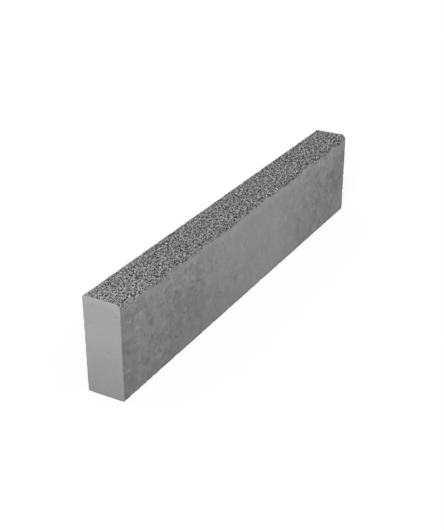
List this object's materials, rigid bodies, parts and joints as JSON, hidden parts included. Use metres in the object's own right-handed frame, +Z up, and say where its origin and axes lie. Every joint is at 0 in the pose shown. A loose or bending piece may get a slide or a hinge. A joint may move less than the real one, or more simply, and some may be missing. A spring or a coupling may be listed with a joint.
{
  "type": "concrete kerb stone",
  "caption": "Straight concrete kerb stone: a solid cast bar with a bevelled, grit-faced top front edge, laid end to end along a path or road edge.",
  "frame": {"origin": "middle of the bed, the face that the stone stands on", "axes": "+X along the kerb line, +Y from the front face to the back face, +Z up; the bevelled front face looks towards -Y"},
  "size_m": [1, 0.08, 0.2],
  "materials": {
    "concrete": "matte"
  },
  "bodies": {
    "root": {"kerb_stone": "concrete"}
  },
  "joints": []
}
